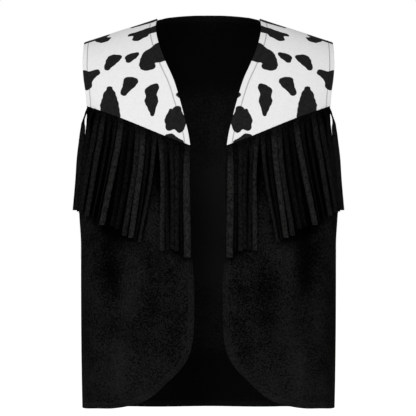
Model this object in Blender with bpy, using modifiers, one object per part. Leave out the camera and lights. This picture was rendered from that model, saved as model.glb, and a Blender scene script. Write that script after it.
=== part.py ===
"""A western vest, open at the front: black suede-like fronts and back, cow-print front yokes that wrap
over the shoulders, and a row of long cut fringe in each slanted chest seam.

It is worn by nobody but keeps the hollow form of a body. +Z is up, the front faces -Y and +X is the
side at the right of a viewer who faces it. The origin is midway between the shoulders, at the height of
the middle of the shoulder ridges. Sizes are in millimetres and are turned to metres when a mesh is made.
"""

import math

import bpy
import numpy as np

METRES = 0.001

# The cloth: wall thickness, the gap where two pieces meet, and how far a panel lies back under a seam.
CLOTH = 1.8
SEAM_GAP = 0.3
SEAM_STEP = 1.6
SEAM_STEP_DEPTH = 9.0
SEAM_STEP_EASE = 26.0

# The form: height of the underarm, the chest's half sizes there, roundness of the rings, and the rise,
# depth, fullness and end of the arch that the cloth follows up over the shoulder.
CHEST_Z = -215.0
CHEST_HALF_WIDTH = 209.5
CHEST_HALF_DEPTH = 113.0
RING_POWER = 3.0
ARCH_RISE = 235.0
ARCH_DEPTH = 117.0
ARCH_POWER = 2.6
ARCH_END = math.radians(125)
BESIDE_ARMHOLE_X = 200.0

# Where the yoke ends behind the shoulder ridge, and where its side edges run straight to there.
SHOULDER_SEAM_BACK = 14.0
RIDGE_TO_SEAM = 22.0

# The first and last step of a panel's grid, and how fast its rows lose the bends of its edges.
EDGE_STEP = 3.0
BEND_FADE = 3

# The fringe: strip and strands, which lie a little inside the yoke's face at the seam.
STRIP_DEPTH = 7.0
STRIP_OUT = -0.1
STRAND_CLOTH = 1.2
STRAND_GAP = 0.7
STRAND_RISE = 20.0
STAND_OFF_POWER = 1.5
LAYER_OUT = (1.6, 3.3)

# Points along a line or table that stands for a smooth curve.
CURVE_SAMPLES = 600
TABLE_SAMPLES = 4001


def table(names, *rows):
    """A small table, as one array for each named column."""
    return {name: np.array(values, float) for name, values in zip(names.split(), zip(*rows))}


# Half sizes of the body at heights taken beside the armhole, from the hem to the shoulder ridge.
RINGS = table(
    "z half_width front_depth back_depth",
    (-630, 207.0, 112.0, 110.0),
    (-540, 208.5, 113.0, 109.0),
    (-430, 209.5, 114.0, 106.0),
    (-320, 209.5, 116.0, 106.0),
    (-215, 209.5, 117.0, 109.0),
    (-170, 212.0, 117.0, 112.0),
    (-126, 224.0, 117.0, 114.0),
    (-82, 236.0, 117.0, 114.0),
    (-40, 242.0, 117.0, 113.0),
    (-15, 244.0, 117.0, 112.0),
)

# Height of the shoulder ridge; inside the neck it only shapes the back.
RIDGE = table(
    "x z",
    (-20, 57.5),
    (0, 60.5),
    (20, 57.5),
    (40, 48.5),
    (60, 36.5),
    (84, 24),
    (107, 16),
    (130, 8.7),
    (204, -15),
    (245, -27),
)

# Seams and edges as seen from the front, and the lower armhole edges as seen from the side.
CHEST_SEAM = table(
    "x z", (29, -189), (71, -173.2), (109, -157.5), (143, -143.7), (176, -131.7), (196.5, -124.6)
)
NECK_EDGE = table(
    "x z",
    (29, -189),
    (32, -170),
    (37.4, -147.6),
    (44.6, -119.6),
    (55.9, -82.7),
    (68.7, -53.8),
    (78.9, -27.3),
    (83.9, -8.8),
    (86.3, 7.5),
)
YOKE_ARM_EDGE = table("x z", (196.5, -124.6), (199, -100), (201.8, -82), (204.3, -55), (204.5, -40))
NECK_POINT_X = 84.5
SHOULDER_TIP_X = 204.0
FRONT_ARM_LOW = table(
    "y z", (0, -216), (20, -214.2), (38, -207.5), (53, -195), (64, -175), (71.5, -150), (75.6, -124.6)
)
BACK_ARM_LOW = table(
    "y z", (0, -216), (22, -214.2), (42, -206.5), (58, -191), (69, -167), (75.6, -135)
)
BACK_ARM_HIGH = table("x z", (193, -135), (194, -100), (197.5, -62), (201.5, -36))
FRONT_EDGE = table(
    "x z",
    (29, -189.3),
    (27.2, -215),
    (27, -330),
    (25.5, -370),
    (23, -410),
    (22.7, -451),
    (23.5, -485),
    (26.2, -507),
    (33.4, -529.3),
    (46, -547.5),
    (61.2, -562.9),
    (75.2, -576.6),
    (91.9, -590.9),
    (108.8, -599.6),
    (122.9, -604),
    (137.1, -607.2),
    (155.9, -610),
    (181, -611.5),
    (207, -615),
)
BACK_NECK = table("x z", (0, 34.4), (24, 33.8), (48, 31.2), (68, 27.6))
BACK_HEM = table("x z", (0, -627), (120, -626.5), (175, -623), (207, -615.3))
SIDE_SEAM_TOP = -216.0

# Where a front's grid has its corner on the round, and up to where the rows of the back's grid are level.
FRONT_CORNER_Z = -566.0
BACK_LEVEL_Z = -195.0

# Soft folds, as seen from the front: each runs from its top to its bottom and fades at both ends.
FRONT_FOLDS = table(
    "top_x top_z bottom_x bottom_z half_width out",
    (176, -215, 158, -440, 19, -5.0),
    (131, -345, 126, -520, 15, 4.0),
    (96, -400, 104, -590, 20, -3.0),
    (150, -500, 146, -640, 18, 4.0),
    (60, -372, 52, -585, 16, 2.0),
    (186, -430, 184, -640, 14, 2.5),
)
BACK_FOLDS = table(
    "top_x top_z bottom_x bottom_z half_width out",
    (168, -190, 150, -470, 21, -5.0),
    (124, -330, 128, -600, 20, 4.0),
    (78, -300, 88, -640, 24, -4.0),
    (0, -350, 0, -650, 30, 4.5),
    (176, -450, 178, -650, 16, 3.0),
)
FOLD_FADE = 70.0

# The strands of one fringe, from the armhole to the front edge. `stand_off` is how far a tip hangs clear.
STRANDS = table(
    "tip_x tip_z layer stand_off",
    (205.0, -291, 1, 12),
    (200.5, -292, 0, 8),
    (196.5, -297, 1, 4),
    (191.0, -302, 0, 2.5),
    (182.5, -306, 1, 1),
    (175.5, -309, 0, 0),
    (170.0, -316, 1, 2),
    (143.0, -321, 0, 0),
    (137.0, -333, 1, 1),
    (124.0, -336, 0, 2),
    (116.5, -340, 1, 0),
    (109.0, -343, 0, 0),
    (101.0, -342, 1, 0),
    (76.0, -356, 1, 1),
    (66.0, -355, 0, 0),
    (58.0, -354, 1, 0),
    (50.0, -357, 0, 1),
    (41.5, -359, 1, 0),
    (32.5, -367, 0, 2),
)
STRAND_STATIONS = (0.055, 0.11, 0.22, 0.36, 0.52, 0.75, 1.0)

# Grid of each panel: cells across the seams and the neck, beside the side seam and up the armholes.
SEAM_COLUMNS = 16
NECK_COLUMNS = 5
SIDE_COLUMNS = 5
YOKE_ROWS = 14
SIDE_ROWS = 18
FRONT_ARM_ROWS = 6
BACK_ARM_ROWS = 14

SUEDE = ((0.0065, 0.006, 0.006, 1.0), 0.9)
PRINT = ((0.78, 0.78, 0.77, 1.0), 0.75)


def smooth(at, x, y):
    """y where x is `at`, on a smooth curve through the points; x rises."""
    slope = np.gradient(y, x)
    at = np.clip(at, x[0], x[-1])
    i = np.clip(np.searchsorted(x, at) - 1, 0, len(x) - 2)
    step = x[i + 1] - x[i]
    t = (at - x[i]) / step
    near = y[i] * (1 + 2 * t) + slope[i] * step * t
    far = y[i + 1] * (3 - 2 * t) - slope[i + 1] * step * (1 - t)
    return near * (1 - t) ** 2 + far * t**2


def lengths(points):
    """Distance along a line of points, at each point."""
    steps = np.linalg.norm(np.diff(points, axis=0), axis=1)
    return np.concatenate([[0.0], np.cumsum(steps)])


def shares(length, cells):
    """Places along a length in even steps, but for a narrow first and last one that keep an edge's wall
    square."""
    narrow = EDGE_STEP / length
    return np.concatenate([[0.0], np.linspace(narrow, 1 - narrow, cells - 1), [1.0]])


def placed(points, at):
    """Points at the given shares of a line's length."""
    along = lengths(points)
    return np.stack([np.interp(at * along[-1], along, column) for column in points.T], axis=1)


def evenly(points, cells):
    """A line of points in equal steps."""
    return placed(points, np.linspace(0, 1, cells + 1))


def edged(points, cells):
    """A line of points in even steps, with the narrow end steps."""
    return placed(points, shares(lengths(points)[-1], cells))


def end_edged(points, cells):
    """A line of points in even steps, but for a narrow last one."""
    narrow = EDGE_STEP / lengths(points)[-1]
    return placed(points, np.append(np.linspace(0, 1 - narrow, cells), 1.0))


def curve(edge):
    """A smooth line through an edge table's rows."""
    rows = np.stack(list(edge.values()), axis=1)
    knots = lengths(rows)
    at = np.linspace(0, knots[-1], CURVE_SAMPLES)
    return np.stack([smooth(at, knots, rows[:, 0]), smooth(at, knots, rows[:, 1])], axis=1)


def ease(t):
    """0 to 1, level at both ends."""
    t = np.clip(t, 0, 1)
    return t * t * (3 - 2 * t)


def ridge_z(x):
    return smooth(x, RIDGE["x"], RIDGE["z"])


# The cloth is laid out as on a cutting table: `girth` is the distance round the chest from the centre
# front or back, and `height` the distance up the cloth from the underarm, over the shoulder.
ARCH_ANGLE = np.linspace(0, 1, TABLE_SAMPLES) ** 2 * ARCH_END
arch_up = ARCH_RISE * np.sin(ARCH_ANGLE) ** (2 / ARCH_POWER)
ARCH_HEIGHT = lengths(np.stack([ARCH_DEPTH * np.cos(ARCH_ANGLE), arch_up], axis=1))
RIDGE_HEIGHT = np.interp(math.pi / 2, ARCH_ANGLE, ARCH_HEIGHT)


def ring_reach(turn):
    """How far a unit ring reaches at an angle from the centre front or back."""
    power = np.abs(np.sin(turn)) ** RING_POWER + np.abs(np.cos(turn)) ** RING_POWER
    return power ** (-1 / RING_POWER)


TURN = np.linspace(0, math.pi / 2, TABLE_SAMPLES)
chest_ring = np.stack([CHEST_HALF_WIDTH * np.sin(TURN), CHEST_HALF_DEPTH * np.cos(TURN)], axis=1)
GIRTH = lengths(chest_ring * ring_reach(TURN)[:, None])
SIDE_GIRTH = GIRTH[-1]


def height_at(x, z):
    """Height up the cloth of a point that is seen at x and z."""
    share = np.clip((z - CHEST_Z) / (ridge_z(x) - CHEST_Z), 0, 1)
    angle = np.arcsin(share ** (ARCH_POWER / 2))
    return np.where(z < CHEST_Z, z - CHEST_Z, np.interp(angle, ARCH_ANGLE, ARCH_HEIGHT))


RING_HEIGHT = height_at(BESIDE_ARMHOLE_X, RINGS["z"])


def girth_at(x, height):
    """Girth of a point that is seen at x."""
    across = np.clip(x / smooth(height, RING_HEIGHT, RINGS["half_width"]), 0, 1)
    turn = np.arctan2(across, (1 - across**RING_POWER) ** (1 / RING_POWER))
    return np.interp(turn, TURN, GIRTH)


def laid_out(line):
    """A line seen from the front, as girth and height."""
    height = height_at(line[:, 0], line[:, 1])
    return np.stack([girth_at(line[:, 0], height), height], axis=1)


def laid_out_from_side(line, depth_name):
    """A line seen from the side beside the armhole, as girth and height. The height needs x, and x the
    height, so both are found in a few rounds."""
    x = np.full(len(line), BESIDE_ARMHOLE_X)
    for _ in range(4):
        height = height_at(x, line[:, 1])
        depth = smooth(height, RING_HEIGHT, RINGS[depth_name])
        arch = np.cos(np.interp(height, ARCH_HEIGHT, ARCH_ANGLE))
        forward = np.clip(line[:, 0] / (depth * arch), 0, 1)
        across = (1 - forward**RING_POWER) ** (1 / RING_POWER)
        x = across * smooth(height, RING_HEIGHT, RINGS["half_width"])
    return np.stack([np.interp(np.arctan2(across, forward), TURN, GIRTH), height], axis=1)


def form(cloth, side):
    """Points of the body form for girth and height. `side` is -1 on the front and 1 on the back."""
    turn = np.interp(cloth[..., 0], GIRTH, TURN)
    height = cloth[..., 1]
    angle = np.interp(height, ARCH_HEIGHT, ARCH_ANGLE)
    front = smooth(height, RING_HEIGHT, RINGS["front_depth"])
    back = smooth(height, RING_HEIGHT, RINGS["back_depth"])
    depth = np.where((angle > math.pi / 2) | (side > 0), back, front)
    reach = ring_reach(turn)
    x = smooth(height, RING_HEIGHT, RINGS["half_width"]) * reach * np.sin(turn)
    y = side * depth * reach * np.cos(turn) * np.cos(angle)
    rise = (ridge_z(x) - CHEST_Z) * np.sin(angle) ** (2 / ARCH_POWER)
    return np.stack([x, y, CHEST_Z + np.where(height < 0, height, rise)], axis=-1)


def relief(points, folds):
    """How far the folds move each point of the form outwards."""
    x, z = np.abs(points[..., 0]), points[..., 2]
    out = np.zeros_like(x)
    for row in zip(*folds.values()):
        top_x, top_z, bottom_x, bottom_z, half_width, depth = row
        down = (top_z - z) / (top_z - bottom_z)
        middle = top_x + (bottom_x - top_x) * down
        fade = ease((top_z - z) / FOLD_FADE) * ease((z - bottom_z) / FOLD_FADE)
        out += depth * fade * np.exp(-(((x - middle) / half_width) ** 2))
    return out


def skin(cloth, side, folds=None, out=0.0):
    """Points of a panel's outer face: the form with its folds, moved `out` along its normals."""
    step = 1.0
    right = form(cloth + [step, 0], side) - form(cloth - [step, 0], side)
    up = form(cloth + [0, step], side) - form(cloth - [0, step], side)
    normal = np.cross(right, up) * -side
    normal /= np.linalg.norm(normal, axis=-1, keepdims=True)
    points = form(cloth, side)
    if folds is not None:
        out = out + relief(points, folds)
    return points + normal * np.broadcast_to(out, points.shape[:-1])[..., None]


def patch(bottom, top, left, right):
    """A grid inside four edge lines: straight rows from left to right, bent near the bottom and top edge
    by how far that edge departs from a straight one."""
    u, v = (
        (lengths(one) / lengths(one)[-1] + lengths(other) / lengths(other)[-1]) / 2
        for one, other in ((bottom, top), (left, right))
    )
    u = u[:, None, None]
    v = v[None, :, None]
    across = (1 - u) * left[None] + u * right[None]
    bottom_bend = bottom[:, None] - (1 - u) * left[0] - u * right[0]
    top_bend = top[:, None] - (1 - u) * left[-1] - u * right[-1]
    return across + (1 - v) ** BEND_FADE * bottom_bend + v**BEND_FADE * top_bend


def panel(hem, top, left, arm, arm_rows):
    """A panel in two blocks that share an upright line below the point where the armhole runs at 45
    degrees: the inner one goes up to the top, and the outer one up to the armhole's low edge."""
    slope = np.abs(np.gradient(arm[:, 1]) / np.gradient(arm[:, 0]))
    turn = np.argmax(slope > 1)
    foot = np.array([arm[turn, 0], np.interp(arm[turn, 0], hem[:, 0], hem[:, 1])])
    upright = evenly(np.array([foot, arm[turn]]), SIDE_ROWS)
    right = np.concatenate([upright, end_edged(arm[turn:], arm_rows)[1:]])
    inner_hem = np.concatenate([hem[hem[:, 0] < foot[0]], [foot]])
    inner = patch(edged(inner_hem, len(top) - 1), top, left, right)
    outer_hem = np.concatenate([[foot], hem[hem[:, 0] > foot[0]]])
    low_arm = arm[turn::-1]
    side_seam = evenly(np.array([outer_hem[-1], low_arm[-1]]), SIDE_ROWS)
    bottom = end_edged(outer_hem, SIDE_COLUMNS)
    outer = patch(bottom, end_edged(low_arm, SIDE_COLUMNS), upright, side_seam)
    return inner, outer


def panel_faces(inner, outer):
    """Quads of both blocks, whose points are numbered row by row within each column, the inner block first.
    The outer block's first column is the lower part of the inner one's last."""
    number = np.arange(inner[..., 0].size).reshape(inner.shape[:2])
    added = number.size + np.arange(outer[1:, :, 0].size).reshape(outer[1:].shape[:2])
    added = np.concatenate([number[-1:, : outer.shape[1]], added])
    return np.concatenate([grid_faces(number), grid_faces(added)])


def grid_faces(number):
    """Quads between the columns and rows of a grid of point numbers."""
    corners = (number[:-1, :-1], number[1:, :-1], number[1:, 1:], number[:-1, 1:])
    return np.stack([corner.ravel() for corner in corners], axis=1)


def seam_line(cells, drop=0.0):
    """The chest seam from the front edge to the armhole, in girth and height, `drop` below the yoke."""
    line = edged(form(laid_out(curve(CHEST_SEAM)), -1), cells)
    cloth = laid_out(line[:, [0, 2]])
    return cloth - [0, drop]


def sheet(name, points, faces, collection, finish, thickness, mirrored=False):
    """An object from an open sheet of points whose wall goes inwards."""
    points = np.array(points, float).reshape(-1, 3)
    faces = np.asarray(faces)
    if mirrored:
        points = points * [-1, 1, 1]
        faces = faces[:, ::-1]
    mesh = bpy.data.meshes.new(name)
    mesh.from_pydata((points * METRES).tolist(), [], faces.tolist())
    mesh.shade_smooth()
    mesh.materials.append(finish)
    piece = bpy.data.objects.new(name, mesh)
    collection.objects.link(piece)
    wall = piece.modifiers.new("Wall", "SOLIDIFY")
    wall.thickness = thickness * METRES
    wall.offset = -1
    return piece


def shoulder_seam(height):
    """The seam behind the shoulder ridge, from the neck to the armhole, in girth and height."""
    width = SHOULDER_TIP_X - NECK_POINT_X
    x = NECK_POINT_X + width * shares(width, SEAM_COLUMNS)
    return np.stack([girth_at(x, height), np.full_like(x, height)], axis=1)


def yoke_grid():
    """The yoke from the chest seam up over the shoulder ridge to the seam behind it."""
    top = shoulder_seam(RIDGE_HEIGHT + SHOULDER_SEAM_BACK)
    neck, arm = (
        edged(np.concatenate([laid_out(curve(edge)), end - [0, RIDGE_TO_SEAM], end]), YOKE_ROWS)
        for edge, end in ((NECK_EDGE, top[:1]), (YOKE_ARM_EDGE, top[-1:]))
    )
    return patch(seam_line(SEAM_COLUMNS), top, neck, arm)


def front_panel():
    """A front's two blocks. The round of its lower front corner is shared by the inner block's left and
    bottom edges."""
    top = seam_line(SEAM_COLUMNS, drop=SEAM_GAP)
    outline = laid_out(curve(FRONT_EDGE))
    outline[0] = top[0]
    outline[-1, 0] = SIDE_GIRTH - SEAM_GAP / 2
    corner = np.argmin(np.abs(outline[:, 1] - (FRONT_CORNER_Z - CHEST_Z)))
    left = end_edged(outline[corner::-1], SIDE_ROWS + FRONT_ARM_ROWS)
    arm = laid_out_from_side(curve(FRONT_ARM_LOW), "front_depth")
    arm = armhole(arm[1:-1], top[-1])
    return panel(outline[corner:], top, left, arm, FRONT_ARM_ROWS)


def armhole(line, top_end):
    """An armhole edge that follows a line from beside the side seam to the end of the panel's top."""
    underarm = [SIDE_GIRTH - SEAM_GAP / 2, SIDE_SEAM_TOP - CHEST_Z]
    return np.concatenate([[underarm], line, [top_end]])


def back_panel():
    """The two blocks of one half of the back, from the centre line to the side. Its rows are level up to
    the armhole's turn."""
    shoulder = shoulder_seam(RIDGE_HEIGHT - SHOULDER_SEAM_BACK - SEAM_GAP)
    neck = evenly(np.concatenate([laid_out(curve(BACK_NECK)), shoulder[:1]]), NECK_COLUMNS)
    top = np.concatenate([neck[:-1], shoulder])
    hem = laid_out(curve(BACK_HEM))
    hem[-1, 0] = SIDE_GIRTH - SEAM_GAP / 2
    low_arm = laid_out_from_side(curve(BACK_ARM_LOW), "back_depth")
    arm = armhole(np.concatenate([low_arm[1:], laid_out(curve(BACK_ARM_HIGH))]), top[-1])
    knee = np.array([0.0, BACK_LEVEL_Z - CHEST_Z])
    left_low = evenly(np.array([hem[0], knee]), SIDE_ROWS)
    left_high = end_edged(np.array([knee, top[0]]), BACK_ARM_ROWS)
    return panel(hem, top, np.concatenate([left_low, left_high[1:]]), arm, BACK_ARM_ROWS)


def joined(inner, outer):
    """The points of both blocks, the shared line once."""
    return np.concatenate([inner.reshape(-1, 2), outer[1:].reshape(-1, 2)])


def seam_setback(cloth):
    """How far a front panel lies back below the chest seam, where the fringe and its seam take room."""
    seam = laid_out(curve(CHEST_SEAM))
    below = np.interp(cloth[..., 0], seam[:, 0], seam[:, 1]) - cloth[..., 1]
    return -SEAM_STEP * (1 - ease((below - SEAM_STEP_DEPTH) / SEAM_STEP_EASE))


def fringe_sheet():
    """One fringe: a strip along the chest seam whose lower edge is cut into strands."""
    count = len(STRANDS["tip_x"])
    fine = seam_line(CURVE_SAMPLES, drop=SEAM_GAP)
    along = lengths(form(fine, -1))
    pitch = along[-1] / count
    edges = []
    for i in range(count):
        edges += [i * pitch + STRAND_GAP / 2, (i + 1) * pitch - STRAND_GAP / 2]
    edges[0] = 0.0
    edges[-1] = along[-1]
    # The strands are listed from the armhole, and the seam runs from the front edge.
    strands = {name: column[::-1] for name, column in STRANDS.items()}
    at = np.array(edges)
    roots = np.stack([np.interp(at, along, fine[:, 0]), np.interp(at, along, fine[:, 1])], axis=1)
    width = pitch - STRAND_GAP
    points = list(skin(roots, -1, out=STRIP_OUT)) + list(skin(roots - [0, STRIP_DEPTH], -1, out=STRIP_OUT))
    top = np.arange(2 * count)
    low = top + 2 * count
    faces = [(low[k], low[k + 1], top[k + 1], top[k]) for k in range(2 * count - 1)]
    for i in range(count):
        middle = (roots[2 * i] + roots[2 * i + 1]) / 2 - [0, STRIP_DEPTH]
        tip_height = strands["tip_z"][i] - CHEST_Z
        tip = np.array([girth_at(strands["tip_x"][i], tip_height), tip_height])
        clear = LAYER_OUT[int(strands["layer"][i])]
        above = (low[2 * i], low[2 * i + 1])
        for share in STRAND_STATIONS:
            centre = middle + (tip - middle) * share
            rise = ease(share * (middle[1] - tip_height) / STRAND_RISE)
            out = STRIP_OUT + (clear - STRIP_OUT) * rise
            out += strands["stand_off"][i] * share**STAND_OFF_POWER
            pair = np.array([centre - [width / 2, 0], centre + [width / 2, 0]])
            points += list(skin(pair, -1, out=out))
            below = (len(points) - 2, len(points) - 1)
            faces.append((below[0], below[1], above[1], above[0]))
            above = below
    return np.array(points), np.array(faces)


def material(name, finish):
    """A plain material with a colour and a roughness."""
    colour, roughness = finish
    made = bpy.data.materials.new(name)
    made.use_nodes = True
    shader = made.node_tree.nodes["Principled BSDF"]
    shader.inputs["Base Color"].default_value = colour
    shader.inputs["Roughness"].default_value = roughness
    made.diffuse_color = colour
    return made


def build():
    for old in list(bpy.data.objects):
        bpy.data.objects.remove(old, do_unlink=True)
    vest = bpy.data.collections.new("Western vest")
    bpy.context.scene.collection.children.link(vest)
    suede = material("Black suede cloth", SUEDE)
    cow_print = material("Cow print cloth", PRINT)

    # The back is one piece: a half and its mirror image, which share the centre line.
    blocks = back_panel()
    half, half_faces = joined(*blocks), panel_faces(*blocks)
    centre = np.arange(len(half)) < blocks[0].shape[1]
    mirror = np.where(centre, np.arange(len(half)), len(half) + np.cumsum(~centre) - 1)
    right = skin(half, 1, BACK_FOLDS)
    right[centre, 0] = 0.0
    whole = np.concatenate([right, right[~centre] * [-1, 1, 1]])
    faces = np.concatenate([half_faces[:, ::-1], mirror[half_faces]])
    sheet("back", whole, faces, vest, suede, CLOTH)

    yoke = yoke_grid()
    yoke_faces = grid_faces(np.arange(yoke[..., 0].size).reshape(yoke.shape[:2]))
    blocks = front_panel()
    front, front_faces = joined(*blocks), panel_faces(*blocks)
    front_skin = skin(front, -1, FRONT_FOLDS, seam_setback(front))
    strip, strip_faces = fringe_sheet()
    for label, mirrored in (("left", True), ("right", False)):
        sheet(f"yoke_{label}", skin(yoke, -1), yoke_faces, vest, cow_print, CLOTH, mirrored)
        sheet(f"front_{label}", front_skin, front_faces, vest, suede, CLOTH, mirrored)
        sheet(f"fringe_{label}", strip, strip_faces, vest, suede, STRAND_CLOTH, mirrored)


build()
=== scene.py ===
"""Finish of an open western vest: black suede-like back and fronts, cow-print yokes and long cut fringe.

The vest keeps the hollow form of a body with no wearer. +Z is up, the front faces -Y, and the origin is
midway between the shoulders. Sizes are a maker's millimetres, and turn to metres when a mesh is made.
"""

import math

import bpy
import numpy as np
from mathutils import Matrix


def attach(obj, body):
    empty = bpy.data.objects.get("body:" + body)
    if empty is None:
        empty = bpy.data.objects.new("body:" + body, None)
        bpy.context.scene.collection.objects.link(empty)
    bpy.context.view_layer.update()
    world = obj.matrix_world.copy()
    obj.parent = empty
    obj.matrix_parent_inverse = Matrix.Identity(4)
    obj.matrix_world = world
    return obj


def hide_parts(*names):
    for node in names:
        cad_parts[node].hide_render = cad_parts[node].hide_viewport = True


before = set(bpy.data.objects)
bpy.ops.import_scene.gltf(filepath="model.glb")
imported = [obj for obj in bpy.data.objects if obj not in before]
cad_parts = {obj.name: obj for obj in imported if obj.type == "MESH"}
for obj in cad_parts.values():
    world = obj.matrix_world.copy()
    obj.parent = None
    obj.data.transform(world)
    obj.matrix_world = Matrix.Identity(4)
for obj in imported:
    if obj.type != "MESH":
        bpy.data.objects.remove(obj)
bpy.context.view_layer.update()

# The camera stands level, straight in front, at the height of the vest's middle, and sees the picture's
# whole frame: 0.6864 m across at the shoulders.
CAMERA_PLACE = (-0.0008, -3.2, -0.28875)
FRAME_WIDTH = 0.6864
camera = bpy.data.objects.new("Camera", bpy.data.cameras.new("Camera"))
camera.location = CAMERA_PLACE
camera.rotation_euler = (math.pi / 2, 0, 0)
camera.data.lens = camera.data.sensor_width * -CAMERA_PLACE[1] / FRAME_WIDTH
bpy.context.scene.collection.objects.link(camera)
bpy.context.scene.camera = camera


# Back: one piece of black suede-like cloth, cut on the fold. Its neck, armholes and hem are turned in and
# stitched down, and it is sewn to the fronts at the sides and to the yokes behind the shoulder ridge.
MM = 0.001
FRONT, BACK = -1, 1
CLOTH = 1.8
CELL = 4.0
SOFT_EDGE = 0.25
SOFT_EDGE_ANGLE = 50
TURNED_HEM = 10.0
STITCH_IN = 8.5
STITCH_PITCH = 3.6
STITCH_LENGTH = 3.0
STITCH_RINGS = 5
STITCH_SIDES = 6
THREAD = 0.42
THREAD_TAPER = 0.8
THREAD_RISE = 0.35
THREAD_SINK = 0.15
NECK_STITCH_START = 3.0
CHEST_Z = -215.0
RING_POWER = 3.0
ARCH_POWER = 2.6
ARCH_RISE = 235.0
ARCH_DEPTH = 117.0
ARCH_END = math.radians(125)
CHEST_HALF_WIDTH = 209.5
CHEST_HALF_DEPTH = 113.0
SHOULDER_SEAM_BACK = 14.0
NECK_POINT_X = 84.5
SHOULDER_TIP_X = 204.0
UNDERARM_Z = -216.0
ARMHOLE_X = 200.0
TURN_SAMPLES = 2001
ARCH_SAMPLES = 4001
SIDE_ROUNDS = 4


def table(names, *rows):
    """A small table, as one array for each named column."""
    return {name: np.array(values, float) for name, values in zip(names.split(), zip(*rows))}


RINGS = table(
    "z half_width front_depth back_depth",
    (-630, 207.0, 112.0, 110.0),
    (-540, 208.5, 113.0, 109.0),
    (-430, 209.5, 114.0, 106.0),
    (-320, 209.5, 116.0, 106.0),
    (-215, 209.5, 117.0, 109.0),
    (-170, 212.0, 117.0, 112.0),
    (-126, 224.0, 117.0, 114.0),
    (-82, 236.0, 117.0, 114.0),
    (-40, 242.0, 117.0, 113.0),
    (-15, 244.0, 117.0, 112.0),
)
RIDGE = table(
    "x z",
    (-20, 57.5),
    (0, 60.5),
    (20, 57.5),
    (40, 48.5),
    (60, 36.5),
    (84, 24),
    (107, 16),
    (130, 8.7),
    (204, -15),
    (245, -27),
)
BACK_NECK = table("x z", (0, 34.4), (24, 33.8), (48, 31.2), (68, 27.6))
BACK_HEM = table("x z", (0, -627), (120, -626.5), (175, -623), (207, -615.3))
BACK_ARM_LOW = table(
    "y z", (0, -216), (22, -214.2), (42, -206.5), (58, -191), (69, -167), (75.6, -135)
)
BACK_ARM_HIGH = table("x z", (193, -135), (194, -100), (197.5, -62), (201.5, -36))

# Soft folds, each from its top to its bottom, fading at both ends; `out` is its rise, or its depth if less
# than nothing.
BACK_FOLDS = table(
    "top_x top_z bottom_x bottom_z half_width out",
    (168, -190, 150, -470, 21, -5.0),
    (124, -330, 128, -600, 20, 4.0),
    (78, -300, 88, -640, 24, -4.0),
    (0, -350, 0, -650, 30, 4.5),
    (176, -450, 178, -650, 16, 3.0),
    (148, -60, 120, -260, 13, -1.6),
    (40, -20, 52, -230, 15, -1.4),
    (190, -215, 172, -330, 8, -1.8),
    (104, -420, 98, -600, 9, 1.2),
    (209.5, -180, 209.5, -352, 10, 3.5),
)
# Broad areas of painted light and shade, as of folds and creases: lighter where `out` is more than
# nothing, and darker where it is less.
BACK_PAINTED_LIGHT = table(
    "top_x top_z bottom_x bottom_z half_width out",
    (92, -20, 104, -190, 26, 0.5),
    (60, -230, 52, -520, 20, 0.6),
    (112, -260, 104, -480, 16, -0.8),
    (150, -420, 146, -620, 18, 0.9),
    (0, -420, 0, -600, 26, 0.6),
    (178, -250, 170, -430, 16, -0.7),
)
# Painted shade and light on the back's inside: darker at its top and at its hem, lighter in its middle.
BACK_PAINTED_LIGHT_INSIDE = table(
    "top_x top_z bottom_x bottom_z half_width out",
    (0, 60, 0, -120, 70, -1.8),
    (60, 60, 50, -120, 40, -1.3),
    (0, -180, 0, -460, 60, 1.8),
    (0, -500, 0, -680, 130, -2.2),
)
FOLD_FADE = 70.0


def smooth(at, x, y):
    """y where x is `at`: on each stretch, the cubic whose ends keep the points' values and slopes."""
    slope = np.gradient(y, x)
    at = np.clip(at, x[0], x[-1])
    i = np.clip(np.searchsorted(x, at) - 1, 0, len(x) - 2)
    step = x[i + 1] - x[i]
    t = (at - x[i]) / step
    near = y[i] * (1 + 2 * t) + slope[i] * step * t
    far = y[i + 1] * (3 - 2 * t) - slope[i + 1] * step * (1 - t)
    return near * (1 - t) ** 2 + far * t**2


def ease(t):
    """0 to 1, level at both ends: 3t^2 - 2t^3."""
    t = np.clip(t, 0, 1)
    return t * t * (3 - 2 * t)


def lengths(points):
    """Distance along a line of points, at each point."""
    steps = np.linalg.norm(np.diff(points, axis=0), axis=1)
    return np.concatenate([[0.0], np.cumsum(steps)])


def evenly(points, cells):
    """A line of points again, as that many equal steps."""
    along = lengths(points)
    at = np.linspace(0, along[-1], cells + 1)
    return np.stack([np.interp(at, along, column) for column in points.T], axis=1)


def cells_in(points):
    """How many cells of the usual size a line takes."""
    return max(2, round(lengths(points)[-1] / CELL))


def curve(edge, samples=600):
    """A smooth line through an edge table's rows."""
    rows = np.stack(list(edge.values()), axis=1)
    knots = lengths(rows)
    at = np.linspace(0, knots[-1], samples)
    return np.stack([smooth(at, knots, rows[:, 0]), smooth(at, knots, rows[:, 1])], axis=1)


def ridge_z(x):
    """Height of the shoulder ridge; inside the neck it only shapes the back."""
    return smooth(x, RIDGE["x"], RIDGE["z"])


def ring_reach(turn):
    """How far a unit ring reaches at a turn: (|sin|^3 + |cos|^3)^(-1/3), between a circle and a square."""
    power = np.abs(np.sin(turn)) ** RING_POWER + np.abs(np.cos(turn)) ** RING_POWER
    return power ** (-1 / RING_POWER)


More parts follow.
